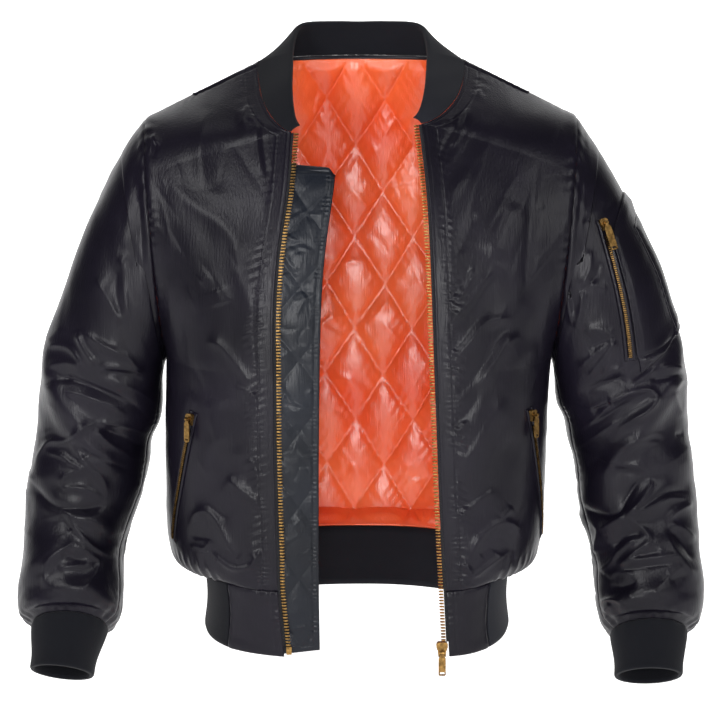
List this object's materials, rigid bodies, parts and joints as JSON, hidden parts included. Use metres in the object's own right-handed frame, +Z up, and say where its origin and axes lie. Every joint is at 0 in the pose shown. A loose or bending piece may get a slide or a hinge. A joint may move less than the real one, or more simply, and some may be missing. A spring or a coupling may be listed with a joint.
{
  "type": "bomber jacket",
  "caption": "Black satin bomber jacket, filled out as worn with nobody in it, open at the front on an orange diamond-quilted lining, with rib collar, cuffs and waistband and brass zips.",
  "frame": {"origin": "between the shoulders at the base of the neck, where a wearer's shoulders hold the jacket up", "axes": "+Z up, the open front faces -Y, +X is the wearer's left"},
  "size_m": [0.8032, 0.2725, 0.7741],
  "materials": {
    "shell": "satin nylon, soft wide gloss",
    "rib": "matte rib knit",
    "lining": "satin nylon, diamond quilted",
    "tape": "matte woven tape",
    "brass": "antique, worn bright on the edges"
  },
  "bodies": {
    "jacket": {"front_left": "shell", "front_right": "shell", "back": "shell", "sleeve_left_under": "shell", "sleeve_left_top": "shell", "sleeve_right_under": "shell", "sleeve_right_top": "shell", "cuff_left": "rib", "cuff_right": "rib", "collar": "rib", "waistband_rib": "rib", "hem_panel_right": "shell", "hem_panel_left": "shell", "lining_back": "lining", "lining_front_left": "lining", "lining_front_right": "lining", "zip_tape_right": "tape", "zip_teeth_right": "brass", "zip_tape_left": "tape", "zip_teeth_left": "brass", "wind_flap": "shell", "main_slider": "brass", "zip_end_pin": "brass", "pocket_welt_right": "shell", "pocket_teeth_right": "brass", "pocket_right_slider": "brass", "pocket_welt_left": "shell", "pocket_teeth_left": "brass", "pocket_left_slider": "brass", "sleeve_pocket": "shell", "pen_pocket": "shell", "sleeve_zip_welt": "shell", "sleeve_zip_teeth": "brass", "sleeve_slider": "brass"},
    "main_tab": {"main_pull": "brass"},
    "right_pocket_tab": {"pocket_right_pull": "brass"},
    "left_pocket_tab": {"pocket_left_pull": "brass"},
    "sleeve_tab": {"sleeve_pull": "brass"}
  },
  "joints": [
    {"name": "main_tab_swing", "type": "hinge", "parent": "jacket", "child": "main_tab", "pos_m": [0.09228, -0.13117, -0.64991], "axis": [-1, 0, 0], "range_deg": [0, 150]},
    {"name": "right_pocket_tab_swing", "type": "hinge", "parent": "jacket", "child": "right_pocket_tab", "pos_m": [-0.1939, -0.11128, -0.3877], "axis": [-0.7509, 0.6605, 0], "range_deg": [0, 150]},
    {"name": "left_pocket_tab_swing", "type": "hinge", "parent": "jacket", "child": "left_pocket_tab", "pos_m": [0.19875, -0.09792, -0.3847], "axis": [-0.6338, -0.7735, 0], "range_deg": [0, 150]},
    {"name": "sleeve_tab_swing", "type": "hinge", "parent": "jacket", "child": "sleeve_tab", "pos_m": [0.27688, -0.07486, -0.16965], "axis": [-0.8684, -0.4472, -0.2141], "range_deg": [0, 150]}
  ]
}
